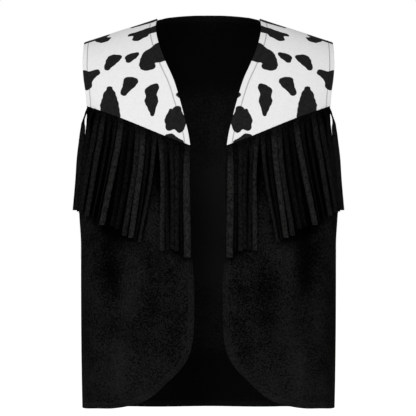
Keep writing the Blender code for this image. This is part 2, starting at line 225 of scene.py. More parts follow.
# Every cloth piece is laid out as on a cutting table: girth is the distance round the chest from the
# centre front or back, and height the distance up the cloth from the underarm, over the shoulder.
TURN = np.linspace(0, math.pi / 2, TURN_SAMPLES)
chest_ring = np.stack([CHEST_HALF_WIDTH * np.sin(TURN), CHEST_HALF_DEPTH * np.cos(TURN)], axis=1)
GIRTH = lengths(chest_ring * ring_reach(TURN)[:, None])
SIDE_GIRTH = GIRTH[-1]
ARCH_ANGLE = np.linspace(0, 1, ARCH_SAMPLES) ** 2 * ARCH_END
arch_up = ARCH_RISE * np.sin(ARCH_ANGLE) ** (2 / ARCH_POWER)
ARCH_HEIGHT = lengths(np.stack([ARCH_DEPTH * np.cos(ARCH_ANGLE), arch_up], axis=1))
RIDGE_HEIGHT = np.interp(math.pi / 2, ARCH_ANGLE, ARCH_HEIGHT)


def height_at(x, z):
    """Height up the cloth of a point that is seen at x and z."""
    share = np.clip((z - CHEST_Z) / (ridge_z(x) - CHEST_Z), 0, 1)
    angle = np.arcsin(share ** (ARCH_POWER / 2))
    return np.where(z < CHEST_Z, z - CHEST_Z, np.interp(angle, ARCH_ANGLE, ARCH_HEIGHT))


RING_HEIGHT = height_at(ARMHOLE_X, RINGS["z"])


def ring_size(name, height):
    """A half size of the body's ring at a height up the cloth."""
    return smooth(height, RING_HEIGHT, RINGS[name])


def girth_at(x, height):
    """Girth of a point that is seen at x."""
    across = np.clip(x / ring_size("half_width", height), 0, 1)
    turn = np.arctan2(across, (1 - across**RING_POWER) ** (1 / RING_POWER))
    return np.interp(turn, TURN, GIRTH)


def laid_out(line):
    """A line seen from the front, as girth and height."""
    height = height_at(line[:, 0], line[:, 1])
    return np.stack([girth_at(line[:, 0], height), height], axis=1)


def laid_out_from_side(line, depth_name):
    """A line seen from the side beside the armhole, as girth and height. Where it is seen from the front
    and how high it lies depend on each other, so both are found in a few rounds."""
    x = np.full(len(line), ARMHOLE_X)
    for _ in range(SIDE_ROUNDS):
        height = height_at(x, line[:, 1])
        arch = np.cos(np.interp(height, ARCH_HEIGHT, ARCH_ANGLE))
        forward = np.clip(line[:, 0] / (ring_size(depth_name, height) * arch), 0, 1)
        across = (1 - forward**RING_POWER) ** (1 / RING_POWER)
        x = across * ring_size("half_width", height)
    return np.stack([np.interp(np.arctan2(across, forward), TURN, GIRTH), height], axis=1)


def form(cloth, side):
    """The body form under girth and height: a ring of half width w and half depth d gives
    x = w reach sin(turn) and y = d reach cos(turn), and above the underarm y shrinks by cos(arch) while z
    climbs to the ridge by sin(arch)^(2/2.6). `side` is FRONT or BACK."""
    turn = np.interp(cloth[..., 0], GIRTH, TURN)
    height = cloth[..., 1]
    arch = np.interp(height, ARCH_HEIGHT, ARCH_ANGLE)
    behind = (arch > math.pi / 2) | (side > 0)
    depth = np.where(behind, ring_size("back_depth", height), ring_size("front_depth", height))
    reach = ring_reach(turn)
    x = ring_size("half_width", height) * reach * np.sin(turn)
    y = side * depth * reach * np.cos(turn) * np.cos(arch)
    rise = (ridge_z(x) - CHEST_Z) * np.sin(arch) ** (2 / ARCH_POWER)
    return np.stack([x, y, CHEST_Z + np.where(height < 0, height, rise)], axis=-1)


def relief(points, folds):
    """How far the folds move the form outwards: each is a bell across its line, eased in and out."""
    x, z = np.abs(points[..., 0]), points[..., 2]
    out = np.zeros_like(x)
    for top_x, top_z, bottom_x, bottom_z, half_width, depth in zip(*folds.values()):
        down = (top_z - z) / (top_z - bottom_z)
        middle = top_x + (bottom_x - top_x) * down
        fade = ease((top_z - z) / FOLD_FADE) * ease((z - bottom_z) / FOLD_FADE)
        out += depth * fade * np.exp(-(((x - middle) / half_width) ** 2))
    return out


def outwards(cloth, side):
    """Unit normals of the form, from its change over 1 mm of girth and of height."""
    right = form(cloth + [1, 0], side) - form(cloth - [1, 0], side)
    up = form(cloth + [0, 1], side) - form(cloth - [0, 1], side)
    normal = np.cross(right, up) * -side
    return normal / np.linalg.norm(normal, axis=-1, keepdims=True)


def skin(cloth, side, folds=None, out=0.0):
    """Points of a piece's outer face: the form with its folds, moved `out` along its normals."""
    points = form(cloth, side)
    if folds is not None:
        out = out + relief(points, folds)
    return points + outwards(cloth, side) * np.broadcast_to(out, points.shape[:-1])[..., None]


def patch(bottom, top, left, right):
    """A grid inside four edge lines: straight rows from left to right, bent near the bottom and the top by
    how far that edge departs from a straight one, which fades as the cube of the distance."""
    u, v = (
        (lengths(one) / lengths(one)[-1] + lengths(other) / lengths(other)[-1]) / 2
        for one, other in ((bottom, top), (left, right))
    )
    u = u[:, None, None]
    v = v[None, :, None]
    across = (1 - u) * left[None] + u * right[None]
    bottom_bend = bottom[:, None] - (1 - u) * left[0] - u * right[0]
    top_bend = top[:, None] - (1 - u) * left[-1] - u * right[-1]
    return across + (1 - v) ** 3 * bottom_bend + v**3 * top_bend


def grid_faces(number):
    """Quads between the columns and rows of an array of point numbers."""
    corners = (number[:-1, :-1], number[1:, :-1], number[1:, 1:], number[:-1, 1:])
    return np.stack([corner.ravel() for corner in corners], axis=1)


def panel(hem, top, left, arm, level=False):
    """A panel in two blocks that share an upright line under the armhole's turn: the inner one runs up to
    the top, the outer one up to the armhole's low edge. `level` keeps the rows level at that turn."""
    slope = np.abs(np.gradient(arm[:, 1]) / np.gradient(arm[:, 0]))
    turn = np.argmax(slope > 1)
    upright_foot = np.array([arm[turn, 0], np.interp(arm[turn, 0], hem[:, 0], hem[:, 1])])
    upright = np.array([upright_foot, arm[turn]])
    upright = evenly(upright, cells_in(upright))
    high_arm = evenly(arm[turn:], cells_in(arm[turn:]))
    right = np.concatenate([upright, high_arm[1:]])
    if level:
        knee = np.array([0.0, arm[turn, 1]])
        low_left = evenly(np.array([left[0], knee]), len(upright) - 1)
        left = np.concatenate([low_left, evenly(np.array([knee, left[-1]]), len(high_arm) - 1)[1:]])
    else:
        left = evenly(left, len(right) - 1)
    inner_hem = np.concatenate([hem[hem[:, 0] < upright_foot[0]], [upright_foot]])
    inner = patch(evenly(inner_hem, len(top) - 1), top, left, right)
    outer_hem = np.concatenate([[upright_foot], hem[hem[:, 0] > upright_foot[0]]])
    low_arm = arm[turn::-1]
    columns = cells_in(low_arm)
    side_seam = evenly(np.array([outer_hem[-1], low_arm[-1]]), len(upright) - 1)
    outer = patch(evenly(outer_hem, columns), evenly(low_arm, columns), upright, side_seam)
    inner_number = np.arange(inner.shape[0] * inner.shape[1]).reshape(inner.shape[:2])
    outer_number = inner_number.size + np.arange(columns * len(upright)).reshape(columns, len(upright))
    outer_number = np.concatenate([inner_number[-1:, : len(upright)], outer_number])
    cloth = np.concatenate([inner.reshape(-1, 2), outer[1:].reshape(-1, 2)])
    return cloth, np.concatenate([grid_faces(inner_number), grid_faces(outer_number)])


def distance_to(line, cloth, reach=30.0):
    """How far each point of a laid-out piece is from an edge line, up to `reach`."""
    near = np.full(len(cloth), reach)
    for first, last in zip(line[:-1], line[1:]):
        along = last - first
        share = np.clip((cloth - first) @ along / max(along @ along, 1e-9), 0, 1)
        gap = np.linalg.norm(cloth - first - share[:, None] * along, axis=1)
        near = np.minimum(near, gap)
    return near


def cloth_piece(name, points, faces, cloth, finishes, values, wall=CLOTH):
    """A piece of cloth from its outer face: a sheet whose wall goes inwards, with softened edges, its cut as
    a UV map in metres, and its measured values as attributes."""
    mesh = bpy.data.meshes.new(name)
    mesh.from_pydata((points * MM).tolist(), [], faces.tolist())
    mesh.shade_smooth()
    for finish in finishes:
        mesh.materials.append(finish)
    cut = mesh.uv_layers.new(name="Cut")
    cut.data.foreach_set("uv", (cloth[faces].reshape(-1) * MM).astype(np.float32))
    for label, column in values.items():
        attribute = mesh.attributes.new(label, "FLOAT", "POINT")
        attribute.data.foreach_set("value", np.asarray(column, np.float32))
    piece = bpy.data.objects.new(name, mesh)
    bpy.context.scene.collection.objects.link(piece)
    solid = piece.modifiers.new("Wall", "SOLIDIFY")
    solid.thickness = wall * MM
    solid.offset = -1
    solid.material_offset = len(finishes) - 1
    edge = piece.modifiers.new("Soft edge", "BEVEL")
    edge.width = wall * MM * SOFT_EDGE
    edge.segments = 2
    edge.angle_limit = math.radians(SOFT_EDGE_ANGLE)
    return piece


def mirrored(points, faces, cloth):
    """The same piece for the other half of the vest."""
    return points * [-1, 1, 1], faces[:, ::-1], cloth * [-1, 1]


class Finish:
    """A material under construction: its Principled shader, and short ways to add nodes and wire them."""

    def __init__(self, name, roughness, sheen, specular=0.0):
        self.material = bpy.data.materials.new(name)
        self.material.use_nodes = True
        self.nodes = self.material.node_tree.nodes
        self.shader = self.nodes["Principled BSDF"]
        self.shader.inputs["Roughness"].default_value = roughness
        self.shader.inputs["Specular IOR Level"].default_value = specular
        self.shader.inputs["Sheen Weight"].default_value = sheen
        self.shader.inputs["Sheen Roughness"].default_value = 0.4

    def wire(self, source, target):
        self.material.node_tree.links.new(source, target)

    def feed(self, value, socket):
        """Wires a node's output into a socket, or sets a number or a colour on it."""
        if isinstance(value, bpy.types.NodeSocket):
            self.wire(value, socket)
        else:
            socket.default_value = value

    def node(self, kind, **inputs):
        """A node whose inputs take numbers or other nodes' outputs; names use _ for a space."""
        made = self.nodes.new(kind)
        for name, value in inputs.items():
            self.feed(value, made.inputs[name.replace("_", " ")])
        return made

    def place(self):
        return self.node("ShaderNodeTexCoord").outputs["Object"]

    def noise(self, size, detail=3.0, rough=0.55, stretch=(1, 1, 1)):
        """Noise whose lumps are about `size` millimetres, stretched by the factors given."""
        turned = self.node("ShaderNodeMapping", Vector=self.place(), Scale=[1 / s for s in stretch])
        scale = 1 / (size * MM)
        made = self.node(
            "ShaderNodeTexNoise",
            Vector=turned.outputs["Vector"],
            Scale=scale,
            Detail=detail,
            Roughness=rough,
        )
        return made.outputs["Fac"]

    def attribute(self, name):
        made = self.nodes.new("ShaderNodeAttribute")
        made.attribute_name = name
        return made.outputs["Fac"]

    def between(self, value, low, high, to_low=0.0, to_high=1.0, soft=True):
        """The value's range from low to high, turned into another range."""
        made = self.nodes.new("ShaderNodeMapRange")
        made.interpolation_type = "SMOOTHSTEP" if soft else "LINEAR"
        self.wire(value, made.inputs["Value"])
        for name, number in zip(("From Min", "From Max", "To Min", "To Max"), (low, high, to_low, to_high)):
            made.inputs[name].default_value = number
        return made.outputs["Result"]

    def math(self, operation, one, other):
        made = self.nodes.new("ShaderNodeMath")
        made.operation = operation
        self.feed(one, made.inputs[0])
        self.feed(other, made.inputs[1])
        return made.outputs["Value"]

    def mix(self, share, one, other):
        """One colour where share is 0, and the other where it is 1."""
        made = self.nodes.new("ShaderNodeMix")
        made.data_type = "RGBA"
        self.wire(share, made.inputs["Factor"])
        for socket, colour in zip((made.inputs[6], made.inputs[7]), (one, other)):
            self.feed((*colour, 1.0) if isinstance(colour, tuple) else colour, socket)
        return made.outputs[2]

    def bump(self, height, distance, strength=1.0, under=None):
        """Normals raised by a height from 0 to 1 that stands for `distance` millimetres."""
        made = self.node("ShaderNodeBump", Height=height, Distance=distance * MM, Strength=strength)
        if under is not None:
            self.wire(under, made.inputs["Normal"])
        return made.outputs["Normal"]


LUMP_SHARE = 0.85
DRIFT_SHARE = 0.15
# The share that the painted light and shade areas take in the colour.
PAINTED_LIGHT_SHARE = 0.07
# Painted shadow under a fringe: the first is the share of the dark colour that it keeps, the second how
# fully it is mixed in.
FRINGE_SHADOW_DARKNESS = 0.3
FRINGE_SHADOW_SHARE = 0.9
PRESSED_SHARE = 0.2
HEM_BLUR = 0.8


def brushed(name, dark, light, sheen, hem_light, painted_light_areas):
    """Brushed cloth: a nap of short fibres that lie this way and that in lumps of 1 to 3 mm, with painted
    light and shade in broad areas, as of folds. Under a fringe it is painted dark as the fringe's shadow,
    and it is lighter along a turned edge that the iron has pressed, with a groove where its stitching pulls
    the cloth in."""
    finish = Finish(name, roughness=0.95, sheen=sheen)
    lumps = finish.noise(2.4, detail=4.0, rough=0.85)
    drifts = finish.noise(40.0, detail=2.0)
    # Painted light and shade: broad areas lighten or darken the nap's colour.
    zones = finish.math("MULTIPLY", finish.attribute(painted_light_areas), PAINTED_LIGHT_SHARE)
    lump_part = finish.math("MULTIPLY", lumps, LUMP_SHARE)
    drift_part = finish.math("MULTIPLY", drifts, DRIFT_SHARE)
    share = finish.math("ADD", finish.math("ADD", lump_part, drift_part), zones)
    colour = finish.mix(finish.between(share, low=0.41, high=0.61), dark, light)
    # Painted shadow: where the fringe hangs, the cloth is painted darker than its darkest nap.
    fringe_shadow_colour = tuple(channel * FRINGE_SHADOW_DARKNESS for channel in dark)
    fringe_shadowed = finish.math("MULTIPLY", finish.attribute("fringe_shadow"), FRINGE_SHADOW_SHARE)
    colour = finish.mix(fringe_shadowed, colour, fringe_shadow_colour)
    edge = finish.attribute("edge_distance")
    pressed = finish.between(edge, TURNED_HEM - HEM_BLUR, TURNED_HEM + HEM_BLUR, to_low=1.0, to_high=0.0)
    raised = tuple(channel * hem_light for channel in light)
    colour = finish.mix(finish.math("MULTIPLY", pressed, PRESSED_SHARE), colour, raised)
    finish.wire(colour, finish.shader.inputs["Base Color"])
    stitch_gap = finish.math("ABSOLUTE", finish.math("SUBTRACT", edge, STITCH_IN), 0.0)
    groove = finish.between(stitch_gap, low=0.0, high=1.8)
    nap = finish.noise(0.9, detail=2.0, stretch=(1, 1, 1.6))
    normal = finish.bump(nap, distance=0.35, strength=0.5)
    normal = finish.bump(lumps, distance=0.6, strength=0.5, under=normal)
    normal = finish.bump(groove, distance=0.35, strength=0.6, under=normal)
    normal = finish.bump(pressed, distance=0.4, strength=0.4, under=normal)
    finish.wire(normal, finish.shader.inputs["Normal"])
    return finish.material


SUEDE_OUT = brushed(
    "Black brushed suede",
    dark=(0.0006, 0.0006, 0.0006),
    light=(0.0097, 0.0093, 0.0091),
    sheen=0.004,
    hem_light=1.1,
    painted_light_areas="painted_light_areas",
)
SUEDE_IN = brushed(
    "Black suede wrong side",
    dark=(0.0022, 0.0021, 0.0022),
    light=(0.0082, 0.0080, 0.0081),
    sheen=0.004,
    hem_light=1.3,
    painted_light_areas="painted_light_inside",
)

seam_top = RIDGE_HEIGHT - SHOULDER_SEAM_BACK
shoulder_cells = round((SHOULDER_TIP_X - NECK_POINT_X) / CELL)
shoulder_x = np.linspace(NECK_POINT_X, SHOULDER_TIP_X, shoulder_cells + 1)
shoulder = np.stack([girth_at(shoulder_x, seam_top), np.full_like(shoulder_x, seam_top)], axis=1)
back_neck = np.concatenate([laid_out(curve(BACK_NECK)), shoulder[:1]])
back_top = np.concatenate([evenly(back_neck, cells_in(back_neck)), shoulder[1:]])
back_hem = laid_out(curve(BACK_HEM))
back_hem[-1, 0] = SIDE_GIRTH
low_arm = laid_out_from_side(curve(BACK_ARM_LOW), "back_depth")
back_arm = np.concatenate([low_arm, laid_out(curve(BACK_ARM_HIGH)), shoulder[-1:]])
back_arm[0] = (SIDE_GIRTH, UNDERARM_Z - CHEST_Z)
back_centre = np.array([back_hem[0], back_top[0]])
half, half_faces = panel(back_hem, back_top, back_centre, back_arm, level=True)

# The half is laid out twice, and its copy meets it along the fold, so that the back is one sheet.
on_fold = half[:, 0] < 1e-6
other_number = np.where(on_fold, np.arange(len(half)), len(half) + np.cumsum(~on_fold) - 1)
back_cloth = np.concatenate([half, half[~on_fold] * [-1, 1]])
back_faces = np.concatenate([half_faces[:, ::-1], other_number[half_faces]])
half_skin = skin(half, BACK, BACK_FOLDS)
half_skin[on_fold, 0] = 0.0
back_skin = np.concatenate([half_skin, half_skin[~on_fold] * [-1, 1, 1]])
back_edge = np.minimum.reduce([distance_to(line, half) for line in (back_hem, back_neck, back_arm)])
# Painted light and shade for the outside and for the inside, and the distance from the edges.
half_values = {
    "edge_distance": back_edge,
    "painted_light_areas": relief(form(half, BACK), BACK_PAINTED_LIGHT),
    "painted_light_inside": relief(form(half, BACK), BACK_PAINTED_LIGHT_INSIDE),
}
back_values = {name: np.concatenate([value, value[~on_fold]]) for name, value in half_values.items()}
back = cloth_piece("back_cloth", back_skin, back_faces, back_cloth, [SUEDE_OUT, SUEDE_IN], back_values)


PLY_SHADE = 0.8
INK_BLUR = 0.5
PROBE = 0.1


def inset(edge, depth, start=1.0, end=1.0):
    """A line that runs `depth` inside an edge line, whose piece lies at the left of its direction; a
    stretch at its start and one at its end are left out."""
    along = np.gradient(edge, axis=0)
    across = np.stack([-along[:, 1], along[:, 0]], axis=1)
    line = edge + across / np.linalg.norm(across, axis=1, keepdims=True) * depth
    run = lengths(edge)
    return line[(run >= start) & (run <= run[-1] - end)]


def stitches(name, lines, side, folds, finish, halves=(1, -1), setback=None, values=None):
    """Rows of stitches on the outer face along each laid-out line, on the halves named (1 right, -1 left),
    as one mesh. A stitch is a thread of six sides whose middle line dips into the cloth at both ends as a
    cosine; its frame is the line's direction, the cloth's normal and their cross product."""
    dots = []
    for line in lines:
        along = lengths(form(line, side))
        count = int(along[-1] / STITCH_PITCH)
        at = (np.arange(count) + 0.5) / count * along[-1]
        dots.append(np.stack([np.interp(at, along, column) for column in line.T], axis=1))
    cloth = np.concatenate([dot[:-1] for dot in dots])
    step = np.concatenate([dot[1:] - dot[:-1] for dot in dots])
    out = 0.0 if setback is None else setback(cloth)
    middle = skin(cloth, side, folds, out)
    ahead = skin(cloth + step * PROBE, side, folds, out) - middle
    ahead /= np.linalg.norm(ahead, axis=1, keepdims=True)
    normal = outwards(cloth, side)
    across = np.cross(normal, ahead)
    s = np.linspace(-1, 1, STITCH_RINGS)[None, :, None, None]
    turn = np.linspace(0, 2 * math.pi, STITCH_SIDES, endpoint=False)[None, None, :, None]
    swell = np.sqrt(1 - THREAD_TAPER * s**2) * THREAD / 2
    rise = THREAD * THREAD_RISE * np.cos(s * math.pi / 2) - THREAD * THREAD_SINK
    ahead, normal, across = (v[:, None, None, :] for v in (ahead, normal, across))
    points = middle[:, None, None, :] + ahead * s * STITCH_LENGTH / 2
    points = points + normal * (rise + swell * np.sin(turn)) + across * swell * np.cos(turn)
    rings = np.arange(STITCH_RINGS * STITCH_SIDES).reshape(STITCH_RINGS, STITCH_SIDES)
    around = np.roll(rings, -1, axis=1)
    walls = np.stack([rings[:-1], around[:-1], around[1:], rings[1:]], axis=-1).reshape(-1, 4)
    first, last = rings[0], rings[-1]
    caps = [first[[0, 5, 4, 3]], first[[0, 3, 2, 1]], last[:4], last[[0, 3, 4, 5]]]
    one = np.concatenate([walls, caps])
    faces = (one[None] + np.arange(len(cloth))[:, None, None] * rings.size).reshape(-1, 4)
    points = points.reshape(-1, 3)
    faces = np.concatenate([faces[:, ::half] + k * len(points) for k, half in enumerate(halves)])
    points = np.concatenate([points * [half, 1, 1] for half in halves])
    mesh = bpy.data.meshes.new(name)
    mesh.from_pydata((points * MM).tolist(), [], faces.tolist())
    mesh.shade_smooth()
    mesh.materials.append(finish)
    for label, of_cloth in (values or {}).items():
        numbers = np.tile(np.repeat(of_cloth(cloth), rings.size), len(halves))
        mesh.attributes.new(label, "FLOAT", "POINT").data.foreach_set("value", numbers)
    row = bpy.data.objects.new(name, mesh)
    bpy.context.scene.collection.objects.link(row)
    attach(row, "root")
    return row


def thread(name, colour, among_patches):
    """Twisted sewing thread, with the slight gloss of its plies. The pile closes over the stitches, so that
    among printed patches they take on the patches' colour."""
    finish = Finish(name, roughness=0.6, sheen=0.0, specular=0.1)
    twist = finish.noise(0.5, detail=1.0)
    colour = finish.mix(twist, tuple(PLY_SHADE * channel for channel in colour), colour)
    distance = finish.attribute("patch_distance")
    printed = finish.between(distance, -INK_BLUR, INK_BLUR, to_low=1.0, to_high=0.0)
    finish.wire(finish.mix(printed, colour, among_patches), finish.shader.inputs["Base Color"])
    finish.wire(finish.bump(twist, distance=0.1, strength=0.5), finish.shader.inputs["Normal"])
    return finish.material


BLACK_THREAD = thread("Black thread", (0.009, 0.009, 0.009), (0.009, 0.009, 0.009))
back_lines = [
    inset(back_hem, STITCH_IN, start=0.0),
    inset(back_arm, STITCH_IN),
    inset(back_neck[::-1], STITCH_IN, start=NECK_STITCH_START, end=0.0),
]
back_stitches = stitches("back_stitches", back_lines, BACK, BACK_FOLDS, BLACK_THREAD)
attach(back, "root")
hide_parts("back")


# Yokes: off-white cloth with a short smooth pile and black cow-print patches. Each runs from the chest seam
# up over the shoulder to a seam behind the ridge, and its neck and armhole edges are turned and topstitched.
YOKE_CELL = 2.0
YOKE_COLUMNS = 85
TOPSTITCH_IN = 8.0
STITCH_STOP = 8.0
CHEST_SEAM = table(
    "x z", (29, -189), (71, -173.2), (109, -157.5), (143, -143.7), (176, -131.7), (196.5, -124.6)
)
NECK_EDGE = table(
    "x z",
    (29, -189),
    (32, -170),
    (37.4, -147.6),
    (44.6, -119.6),
    (55.9, -82.7),
    (68.7, -53.8),
    (78.9, -27.3),
    (83.9, -8.8),
    (86.3, 7.5),
)
YOKE_ARM_EDGE = table("x z", (196.5, -124.6), (199, -100), (201.8, -82), (204.3, -55), (204.5, -40))
RIDGE_TO_SEAM = 22.0

# Lobes of the patches, as seen from the front: each runs from one place to another with a radius at
# either end, and lobes that touch flow into one patch.
LOBES = table(
    "from_x from_z to_x to_z from_radius to_radius",
    # Along the ridge, between it and the neck, and at the shoulder's tip.
    (121, 8.5, 92, 17.5, 6, 9),
    (83, 3.4, 101, -2, 10, 8.5),
    (101, -2.5, 127, -7.5, 8.5, 4),
    (105, -8, 114, -12.5, 8, 8.5),
    (204, -18.5, 171, -7.5, 7, 9),
    (177, -13, 169, -14.5, 8, 9),
    # Upper row.
    (155.5, -52, 162.3, -62.5, 9.8, 5.8),
    (156, -46.5, 145.8, -45.6, 6.4, 5.2),
    (152, -50, 147.5, -48.5, 7, 5.5),
    (127.5, -46.5, 117.3, -42.3, 6.6, 5.2),
    (122, -46, 128, -52.5, 5.6, 4.0),
    (97.5, -50, 99.5, -58.5, 11, 10.4),
    (98.7, -42.5, 96, -46, 7, 9),
    (92, -42, 79, -33, 11.5, 13.5),
    (90, -46, 70, -45.5, 12, 8.5),
    (100, -62.5, 91, -62.5, 6.5, 5.6),
    # Middle row.
    (193, -77, 182, -71, 11, 7.2),
    (197, -78, 195.5, -92, 11, 8.6),
    (202, -72, 204, -88, 8, 8),
    (125.5, -89, 135, -104, 9.8, 5.8),
    (129, -84.5, 118.5, -84.5, 6.2, 4.8),
    (122, -89, 119, -88.5, 6, 4.5),
    (86.3, -97, 88, -103, 7.2, 6.6),
    (95, -101, 94, -107, 6.6, 6.2),
    (91, -107, 91, -118, 6.2, 9.6),
    (91, -118, 89.4, -138.5, 9.6, 3.8),
    (158.5, -98, 158.7, -108, 5, 9.6),
    (158.7, -108, 158.7, -124, 9.6, 14.4),
    (158.7, -124, 156, -150, 14.4, 17),
    # Lower row, above the chest seam.
    (50.3, -134, 52.5, -146, 7.2, 13.6),
    (60.2, -133, 60.5, -147, 2.6, 9),
    (58, -150, 61.5, -158, 9, 7.4),
    (50, -150, 45.5, -160.5, 11.5, 7.8),
    (52, -148, 42.5, -150, 11, 8.4),
    (62, -180, 46, -187, 9.5, 7),
    (49, -108, 46, -109.5, 3, 3.4),
)
FLOW = 1.2
FLOW_REACH = 40.0
WOBBLE = 0.3
INK_CREEP = 0.5
INK_EDGE = 0.4


def patch_distance(cloth):
    """Distance outside the nearest patch, less than nothing inside it. A lobe's is the distance to its
    middle line less its radius there, and they join by the soft minimum -k log(sum(exp(-d / k))). Two
    sines across each other, each bent by a slower one, shake the edge a little."""
    starts = laid_out(np.stack([LOBES["from_x"], LOBES["from_z"]], axis=1))
    ends = laid_out(np.stack([LOBES["to_x"], LOBES["to_z"]], axis=1))
    total = np.zeros(len(cloth))
    radii = zip(LOBES["from_radius"], LOBES["to_radius"])
    for start, end, (start_radius, end_radius) in zip(starts, ends, radii):
        along = end - start
        share = np.clip((cloth - start) @ along / (along @ along), 0, 1)
        gap = np.linalg.norm(cloth - start - share[:, None] * along, axis=1)
        gap -= start_radius + (end_radius - start_radius) * share
        total += np.exp(-np.clip(gap, -FLOW_REACH, FLOW_REACH) / FLOW)
    girth, height = cloth[:, 0], cloth[:, 1]
    ripple = np.sin(0.55 * girth + 1.6 * np.sin(0.27 * height))
    ripple += np.sin(0.6 * height + 1.2 * np.sin(0.33 * girth))
    return -FLOW * np.log(total) + WOBBLE * ripple


def cow_print(name):
    """Off-white cloth whose patches are black where the printed distance is less than nothing; the ink's
    edge creeps along the pile by half a millimetre. Along the stitched line the colour is painted grey, as
    the shade of the groove that its bump sinks there."""
    finish = Finish(name, roughness=0.85, sheen=0.02, specular=0.03)
    creep = finish.between(finish.noise(1.8, detail=3.0), 0, 1, -INK_CREEP, INK_CREEP, soft=False)
    distance = finish.math("ADD", finish.attribute("patch_distance"), creep)
    printed = finish.between(distance, -INK_EDGE, INK_EDGE, to_low=1.0, to_high=0.0)
    mottle = finish.between(finish.noise(4.0, detail=5.0, rough=0.7), low=0.35, high=0.65)
    white = finish.mix(mottle, (0.61, 0.61, 0.608), (0.645, 0.645, 0.642))
    black = finish.mix(mottle, (0.0072, 0.0070, 0.0070), (0.0125, 0.0122, 0.0120))
    from_stitching = finish.math("SUBTRACT", finish.attribute("edge_distance"), TOPSTITCH_IN)
    stitch_gap = finish.math("ABSOLUTE", from_stitching, 0.0)
    groove = finish.between(stitch_gap, low=0.1, high=1.25)
    # Painted shade: grey along the stitched line, as the shade of its groove.
    shaded = finish.mix(groove, (0.34, 0.34, 0.34), white)
    finish.wire(finish.mix(printed, shaded, black), finish.shader.inputs["Base Color"])
    normal = finish.bump(finish.noise(0.8, detail=2.0), distance=0.12, strength=0.6)
    normal = finish.bump(finish.noise(16.0, detail=2.0), distance=1.2, strength=0.35, under=normal)
    normal = finish.bump(groove, distance=0.6, strength=0.9, under=normal)
    finish.wire(normal, finish.shader.inputs["Normal"])
    return finish.material


def wrong_side(name):
    """The white cloth's wrong side: a plain close knit, with no print."""
    finish = Finish(name, roughness=0.9, sheen=0.02, specular=0.03)
    knit = finish.noise(0.8, detail=1.0, stretch=(1, 1, 1.8))
    colour = finish.mix(knit, (0.53, 0.53, 0.52), (0.60, 0.60, 0.59))
    finish.wire(colour, finish.shader.inputs["Base Color"])
    finish.wire(finish.bump(knit, distance=0.2, strength=0.7), finish.shader.inputs["Normal"])
    return finish.material


PRINT_OUT = cow_print("Cow-print cloth")
PRINT_IN = wrong_side("White cloth wrong side")
WHITE_THREAD = thread("White thread", (0.50, 0.50, 0.50), (0.011, 0.011, 0.011))
yoke_back_height = RIDGE_HEIGHT + SHOULDER_SEAM_BACK
yoke_x = np.linspace(NECK_POINT_X, SHOULDER_TIP_X, YOKE_COLUMNS + 1)
yoke_top = np.stack([girth_at(yoke_x, yoke_back_height), np.full_like(yoke_x, yoke_back_height)], axis=1)
chest_seam = laid_out(curve(CHEST_SEAM))
over_ridge = yoke_top - [0, RIDGE_TO_SEAM]
yoke_neck = np.concatenate([laid_out(curve(NECK_EDGE)), over_ridge[:1], yoke_top[:1]])
yoke_arm = np.concatenate([laid_out(curve(YOKE_ARM_EDGE)), over_ridge[-1:], yoke_top[-1:]])
yoke_rows = round(lengths(yoke_neck)[-1] / YOKE_CELL)
yoke_sides = (evenly(yoke_neck, yoke_rows), evenly(yoke_arm, yoke_rows))
yoke_grid = patch(evenly(chest_seam, YOKE_COLUMNS), yoke_top, *yoke_sides)
yoke_number = np.arange(yoke_grid[..., 0].size).reshape(yoke_grid.shape[:2])
yoke_faces = grid_faces(yoke_number)
yoke_cloth = yoke_grid.reshape(-1, 2)
yoke_values = {
    "patch_distance": patch_distance(yoke_cloth),
    "edge_distance": np.minimum(distance_to(yoke_neck, yoke_cloth), distance_to(yoke_arm, yoke_cloth)),
}
yoke_lines = [inset(yoke_neck[::-1], TOPSTITCH_IN, end=STITCH_STOP), inset(yoke_arm, TOPSTITCH_IN)]
for label, half in (("left", -1), ("right", 1)):
    laid = (skin(yoke_cloth, FRONT), yoke_faces, yoke_cloth)
    points, faces, cloth = mirrored(*laid) if label == "left" else laid
    yoke = cloth_piece(f"yoke_{label}_cloth", points, faces, cloth, [PRINT_OUT, PRINT_IN], yoke_values)
    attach(yoke, "root")
    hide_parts(f"yoke_{label}")
    name = f"yoke_{label}_stitches"
    inked = {"patch_distance": patch_distance}
    rows = stitches(name, yoke_lines, FRONT, None, WHITE_THREAD, halves=(half,), values=inked)


# Fronts: black suede-like cloth, from the chest seam down to a hem that rounds up into the front edge. The
# front edge, hem and armhole are turned in and stitched down, and nothing closes the front.
SEAM_STEP = 1.6
SEAM_STEP_DEPTH = 9.0
SEAM_STEP_EASE = 26.0
CORNER_Z = -566.0
FRONT_ARM_LOW = table(
    "y z", (0, -216), (20, -214.2), (38, -207.5), (53, -195), (64, -175), (71.5, -150), (75.6, -124.6)
)
FRONT_EDGE = table(
    "x z",
    (29, -189.3),
    (27.2, -215),
    (27, -330),
    (25.5, -370),
    (23, -410),
    (22.7, -451),
    (23.5, -485),
    (26.2, -507),
    (33.4, -529.3),
    (46, -547.5),
    (61.2, -562.9),
    (75.2, -576.6),
    (91.9, -590.9),
    (108.8, -599.6),
    (122.9, -604),
    (137.1, -607.2),
    (155.9, -610),
    (181, -611.5),
    (207, -615),
)
FRONT_FOLDS = table(
    "top_x top_z bottom_x bottom_z half_width out",
    (176, -215, 158, -440, 19, -5.0),
    (131, -345, 126, -520, 15, 4.0),
    (96, -400, 104, -590, 20, -3.0),
    (150, -500, 146, -640, 18, 4.0),
    (60, -372, 52, -585, 16, 2.0),
    (186, -430, 184, -640, 14, 2.5),
    (112, -380, 116, -520, 7, -1.2),
    (74, -480, 80, -600, 9, 1.2),
    (168, -470, 164, -600, 8, -1.3),
    (209.5, -180, 209.5, -352, 10, 3.5),
)
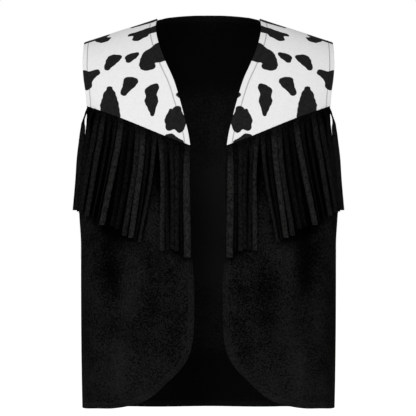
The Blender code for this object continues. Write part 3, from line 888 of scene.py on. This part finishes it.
# Areas of painted light and shade, most along the folds: lighter where `out` is more than nothing, and
# darker where it is less.
FRONT_PAINTED_LIGHT = table(
    "top_x top_z bottom_x bottom_z half_width out",
    (128, -365, 126, -500, 15, 0.6),
    (161, -280, 156, -465, 18, -1.4),
    (146, -480, 142, -625, 16, 1.0),
    (100, -530, 108, -630, 20, 0.8),
    (202, -400, 200, -560, 16, -0.55),
    (88, -330, 96, -520, 16, -0.7),
    (57, -330, 55, -560, 13, -0.35),
    (86, -140, 90, -300, 14, -1.2),
)
# The fringe's reach: under it the cloth is painted dark, as the fringe's shadow.
FRINGE_SHADOW_REACH = table(
    "x z",
    (27, -372),
    (45, -362),
    (58, -357),
    (68, -340),
    (78, -290),
    (87, -215),
    (96, -280),
    (105, -326),
    (114, -337),
    (150, -336),
    (168, -328),
    (185, -308),
    (207, -280),
)
FRINGE_SHADOW_FADE = 24.0
FRINGE_SHADOW_LAP = 0.7
BESIDE_FRINGE_X = 203.0


def fringe_shadow(cloth):
    """1 where the fringe's painted shadow lies on the cloth, and 0 from a short way below its tips and
    beside it.
    """
    reach = laid_out(curve(FRINGE_SHADOW_REACH))
    above = cloth[:, 1] - np.interp(cloth[:, 0], reach[:, 0], reach[:, 1])
    beside = cloth[:, 0] - girth_at(BESIDE_FRINGE_X, cloth[:, 1])
    return ease(above / FRINGE_SHADOW_FADE + FRINGE_SHADOW_LAP) * ease(1 - beside / FRINGE_SHADOW_FADE)


def seam_setback(cloth):
    """How far a front lies back below the chest seam, where the fringe and its seam take room."""
    below = np.interp(cloth[:, 0], chest_seam[:, 0], chest_seam[:, 1]) - cloth[:, 1]
    return -SEAM_STEP * (1 - ease((below - SEAM_STEP_DEPTH) / SEAM_STEP_EASE))


front_top = evenly(chest_seam, cells_in(chest_seam))
front_outline = laid_out(curve(FRONT_EDGE))
front_outline[0] = front_top[0]
front_outline[-1, 0] = SIDE_GIRTH
corner = np.argmin(np.abs(front_outline[:, 1] - (CORNER_Z - CHEST_Z)))
front_arm = laid_out_from_side(curve(FRONT_ARM_LOW), "front_depth")
front_arm[0] = (SIDE_GIRTH, UNDERARM_Z - CHEST_Z)
front_arm[-1] = front_top[-1]
front_hem, front_opening = front_outline[corner:], front_outline[corner::-1]
front_cloth, front_faces = panel(front_hem, front_top, front_opening, front_arm)
from_edge = np.minimum(distance_to(front_outline, front_cloth), distance_to(front_arm, front_cloth))
front_values = {
    "edge_distance": from_edge,
    # Painted light and shade, and the painted shadow under the fringe.
    "painted_light_areas": relief(form(front_cloth, FRONT), FRONT_PAINTED_LIGHT),
    "fringe_shadow": fringe_shadow(front_cloth),
}
front_skin = skin(front_cloth, FRONT, FRONT_FOLDS, seam_setback(front_cloth))
front_lines = [inset(front_outline, STITCH_IN), inset(front_arm, STITCH_IN, end=STITCH_STOP)]
for label, half in (("left", -1), ("right", 1)):
    laid = (front_skin, front_faces, front_cloth)
    points, faces, cloth = mirrored(*laid) if label == "left" else laid
    front = cloth_piece(f"front_{label}_cloth", points, faces, cloth, [SUEDE_OUT, SUEDE_IN], front_values)
    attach(front, "root")
    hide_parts(f"front_{label}")
    name = f"front_{label}_stitches"
    rows = stitches(name, front_lines, FRONT, FRONT_FOLDS, BLACK_THREAD, (half,), seam_setback)


# Fringes: one strip of suede-like cloth in each chest seam, its lower part cut into nineteen strands of
# about 9 mm that hang free. The strands curl and twist a little, so some show their flat and some an edge.
# A form grows over its RISE or REACH, PLACE is the power that moves its peak up the strand, and PACE how
# fast it swings.
STRIP_DEPTH = 7.0
STRIP_SINK = 0.15
STRIP_CELLS = 60
# Painted shade: the strip in the seam is painted nearly as dark as the shaded copy, as it lies in shade
# under the yoke.
STRIP_LIGHT = 0.15
STRAND_CLOTH = 1.1
STRAND_GAP = 0.7
STRAND_ROOT_DROP = 1.0
STRAND_ROOT_SINK = 0.1
STRAND_RISE = 20.0
SPREAD_PACE = 3
NARROWING = 0.05
SWAY = 0.6
SWAY_PACE = 7
SWAY_STEP = 1.7
BOW_PLACE = 0.6
LIFT_PLACE = 0.4
TURN_RISE = 40.0
LIFTED_TURN_RISE = 10
TURN_SHARE = 0.85
TURN_WAVE = 0.2
TURN_WAVE_PACE = 3
TURNED_CLEARANCE = 0.85
ROOT_TURN = 5.8
ROOT_TURN_REACH = 17.0
CUP_RISE = 45.0
# Painted shade along each strand: a quarter of the light at the seam, full light about 3 cm down, and less
# towards the ribbon's edges.
ROOT_SHADE_REACH = 32.0
LIGHT_AT_ROOT = 0.25
EDGE_SHADE = 0.45
STATIONS = 26
ACROSS = 5
# The last column is each strand's painted light: near 1 for one painted as lit and standing forward, low for
# one painted as lying back in shade.
STRANDS = table(
    "tip_x tip_z out stand_off lift bow width turn cup tone",
    (204.5, -292.5, 6.2, 5.0, 7.0, 1.6, 9.6, 38, 1.0, 0.36),
    (202, -294.5, 3.8, 5.7, 5.3, 3.9, 10.2, 10, 1.2, 0.22),
    (199, -297, 3.2, 5, 1.0, 2.4, 9.2, 24, 1.0, 0.36),
    (191, -302, 4.2, 3, 0, 1, 10.2, 12, 1.3, 0.60),
    (182.5, -306, 2.4, 1, 0, -2, 8.7, -44, 1.3, 0.20),
    (175.5, -309, 1.6, 0, 0, -2.5, 8.7, -52, 1.2, 0.26),
    (167.5, -316, 5.0, 3, 0, -3.4, 10.8, 4, 1.5, 0.90),
    (152, -318, 1.6, 0, 0, -3, 8.7, 55, 1.3, 0.10),
    (144, -322, 1.8, 0, 0, -4, 8.7, 50, 1.3, 0.18),
    (133, -333, 3.0, 1, 0, -5, 8.8, 20, 1.2, 0.60),
    (122.5, -336, 4.8, 3, 0, -4.2, 9.6, 0, 1.5, 1.00),
    (116, -340, 1.6, 0, 0, -4, 8.7, -50, 1.3, 0.18),
    (109, -343, 3.4, 1, 0, -5, 8.7, -38, 1.2, 0.60),
    (74, -356, 4.2, 2, 0, -5, 8.8, 10, 1.4, 0.80),
    (65, -355, 1.6, 0, 0, -2, 8.7, 56, 1.3, 0.30),
    (57.5, -354, 3.0, 0, 0, -2, 8.7, -48, 1.2, 0.38),
    (50, -357, 1.8, 1, 0, -1, 8.7, 25, 1.1, 0.45),
    (41.5, -359, 1.6, 0, 0, 0, 8.7, 60, 1.4, 0.14),
    (33.5, -367, 4.4, 3, 0, 1.2, 12.0, 2, 1.3, 1.00),
)


def strands(rows):
    """Girth and height, how far out, and the painted light of every strand's points, on a grid of strands,
    stations and points across. A centre line runs from the strip to the tip, sways by s sin(7 s), bows by
    sin(pi s^0.6), stands off by s^1.5 and lifts by the square of sin(pi s^0.4). Across it, with t from
    -1 to 1, the ribbon turns about its line and cups by 1 - t^2. A lifted one first turns the other
    way, in a bell exp(-u^2) about a place near its root. The painted light is each strand's own share of
    light, painted darker near the seam and towards the ribbon's edges."""
    count = len(rows["tip_x"])
    line = {name: column[:, None, None] for name, column in rows.items()}
    along = lengths(form(chest_seam, FRONT))
    pitch = along[-1] / count
    root_at = (np.arange(count)[::-1] + 0.5) * pitch
    root_girth, seam_height = (np.interp(root_at, along, column)[:, None, None] for column in chest_seam.T)
    root_height = seam_height - STRAND_ROOT_DROP
    tip_height = line["tip_z"] - CHEST_Z
    tip_girth = girth_at(line["tip_x"], tip_height)
    s = np.linspace(0, 1, STATIONS)[None, :, None]
    t = np.linspace(-1, 1, ACROSS)[None, None, :]
    length = root_height - tip_height
    order = np.arange(count)[:, None, None]
    sway = SWAY * np.sin(SWAY_PACE * s + order * SWAY_STEP) * s
    sway = sway + line["bow"] * np.sin(math.pi * s**BOW_PLACE)
    spread = ease(s * SPREAD_PACE)
    width = (pitch - STRAND_GAP) * (1 - spread) + line["width"] * spread
    half_width = width / 2 * (1 - NARROWING * s)
    turned = ease(s * length / (TURN_RISE + LIFTED_TURN_RISE * line["lift"]))
    turned = turned * (TURN_SHARE + TURN_WAVE * np.sin(TURN_WAVE_PACE * s + order))
    turn = np.radians(line["turn"]) * turned
    from_root_turn = s * length / ROOT_TURN_REACH - 1
    turn = turn - np.radians(ROOT_TURN) * line["lift"] * np.exp(-(from_root_turn**2))
    girth = root_girth + (tip_girth - root_girth) * s + sway + half_width * t * np.cos(turn)
    height = np.broadcast_to(root_height - length * s, girth.shape)
    rise = ease((s * length - STRIP_DEPTH) / (STRAND_RISE + line["lift"]))
    out = (line["out"] + STRAND_ROOT_SINK) * rise - STRAND_ROOT_SINK + line["stand_off"] * s**1.5
    out = out + line["lift"] * np.sin(math.pi * s**LIFT_PLACE) ** 2
    # A turned ribbon is raised by most of its turned half width, so that its lower side clears the front.
    out = out + half_width * (t * np.sin(turn) + TURNED_CLEARANCE * np.abs(np.sin(turn)))
    out = out + line["cup"] * ease(s * length / CUP_RISE) * (1 - t**2) * np.cos(turn)
    # Painted shade near the seam and towards the ribbon's edges.
    root_shade_factor = LIGHT_AT_ROOT + (1 - LIGHT_AT_ROOT) * ease(s * length / ROOT_SHADE_REACH)
    tone = line["tone"] * root_shade_factor * (1 - EDGE_SHADE * t**4)
    return np.stack([girth, height], axis=-1), out, tone


def fringe_finish():
    """Suede-like strands whose nap is brushed along the strand. Their colour mixes a shaded and a lit copy
    by the painted light, so that some read as lit and standing forward and some as lying back in shade."""
    finish = Finish("Fringe suede", roughness=0.9, sheen=0.004)
    lumps = finish.noise(2.6, detail=4.0, rough=0.8, stretch=(1, 1, 1.5))
    grain = finish.between(lumps, low=0.40, high=0.60)
    # A shaded and a lit copy of the suede, mixed by the painted light.
    in_shade = finish.mix(grain, (0.0004, 0.0004, 0.0004), (0.0020, 0.0019, 0.0019))
    lit = finish.mix(grain, (0.0045, 0.0043, 0.0042), (0.0165, 0.0160, 0.0157))
    colour = finish.mix(finish.attribute("tone"), in_shade, lit)
    finish.wire(colour, finish.shader.inputs["Base Color"])
    nap = finish.noise(0.8, detail=2.0, stretch=(1, 1, 2))
    normal = finish.bump(nap, distance=0.35, strength=0.5)
    normal = finish.bump(lumps, distance=0.5, strength=0.4, under=normal)
    finish.wire(normal, finish.shader.inputs["Normal"])
    return finish.material


FRINGE_SUEDE = fringe_finish()
strand_cloth, strand_out, strand_light = strands(STRANDS)
ribbons = skin(strand_cloth, FRONT, out=strand_out)
ribbon_number = np.arange(ribbons[..., 0].size).reshape(ribbons.shape[:3])
ribbon_faces = np.concatenate([grid_faces(number.T)[:, ::-1] for number in ribbon_number])
strip_line = evenly(chest_seam, STRIP_CELLS)
strip_cloth = np.stack([strip_line - [0, drop] for drop in (STRIP_DEPTH, 0.0)], axis=1)
strip_skin = skin(strip_cloth, FRONT, out=-STRIP_SINK)
strip_number = ribbon_number.size + np.arange(strip_cloth[..., 0].size).reshape(strip_cloth.shape[:2])
fringe_skin = np.concatenate([ribbons.reshape(-1, 3), strip_skin.reshape(-1, 3)])
fringe_cloth = np.concatenate([strand_cloth.reshape(-1, 2), strip_cloth.reshape(-1, 2)])
fringe_faces = np.concatenate([ribbon_faces, grid_faces(strip_number)])
fringe_light = np.concatenate([strand_light.ravel(), np.full(strip_number.size, STRIP_LIGHT)])
for label in ("left", "right"):
    laid = (fringe_skin, fringe_faces, fringe_cloth)
    points, faces, cloth = mirrored(*laid) if label == "left" else laid
    name = f"fringe_{label}_cloth"
    fringe_light_attribute = {"tone": fringe_light}
    fringe = cloth_piece(name, points, faces, cloth, [FRINGE_SUEDE], fringe_light_attribute, wall=STRAND_CLOTH)
    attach(fringe, "root")
    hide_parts(f"fringe_{label}")


# Studio: a wide pale floor at a standing person's feet, and an even white surround.
FLOOR_Z = -1.42
FLOOR_REACH = 40.0
FLOOR_TONE = 0.93
FLOOR_GLOW = 0.45
floor_mesh = bpy.data.meshes.new("Floor")
floor_mesh.from_pydata(
    [(x * FLOOR_REACH, y * FLOOR_REACH, FLOOR_Z) for x, y in ((-1, -1), (1, -1), (1, 1), (-1, 1))],
    [],
    [(0, 1, 2, 3)],
)
floor = bpy.data.objects.new("Floor", floor_mesh)
bpy.context.scene.collection.objects.link(floor)
floor_paint = bpy.data.materials.new("Pale floor")
floor_paint.use_nodes = True
floor_shader = floor_paint.node_tree.nodes["Principled BSDF"]
floor_shader.inputs["Base Color"].default_value = (FLOOR_TONE, FLOOR_TONE, FLOOR_TONE, 1.0)
floor_shader.inputs["Roughness"].default_value = 0.9
floor_shader.inputs["Emission Color"].default_value = (1.0, 1.0, 1.0, 1.0)
floor_shader.inputs["Emission Strength"].default_value = FLOOR_GLOW
floor_mesh.materials.append(floor_paint)

# The surround is white where the camera sees it, and lights the vest less strongly than it looks.
SURROUND_LIGHT = 0.3
surround = bpy.data.worlds.new("White surround")
surround.use_nodes = True
surround_nodes = surround.node_tree.nodes
sight = surround_nodes.new("ShaderNodeLightPath")
strength = surround_nodes.new("ShaderNodeMapRange")
strength.inputs["To Min"].default_value = SURROUND_LIGHT
surround.node_tree.links.new(sight.outputs["Is Camera Ray"], strength.inputs["Value"])
surround_nodes["Background"].inputs["Color"].default_value = (1.0, 1.0, 1.0, 1.0)
surround.node_tree.links.new(strength.outputs["Result"], surround_nodes["Background"].inputs["Strength"])
bpy.context.scene.world = surround
bpy.context.scene.view_settings.view_transform = "Standard"

# One broad soft light, high in front and a little to the left.
KEY_RISE = 32.0
KEY_ASIDE = 12.0
KEY_SPREAD = 25.0
KEY_ENERGY = 2.4
key = bpy.data.lights.new("Key light", "SUN")
key.energy = KEY_ENERGY
key.angle = math.radians(KEY_SPREAD)
key_holder = bpy.data.objects.new("Key light", key)
key_holder.rotation_euler = (math.radians(90 - KEY_RISE), 0, math.radians(-KEY_ASIDE))
bpy.context.scene.collection.objects.link(key_holder)
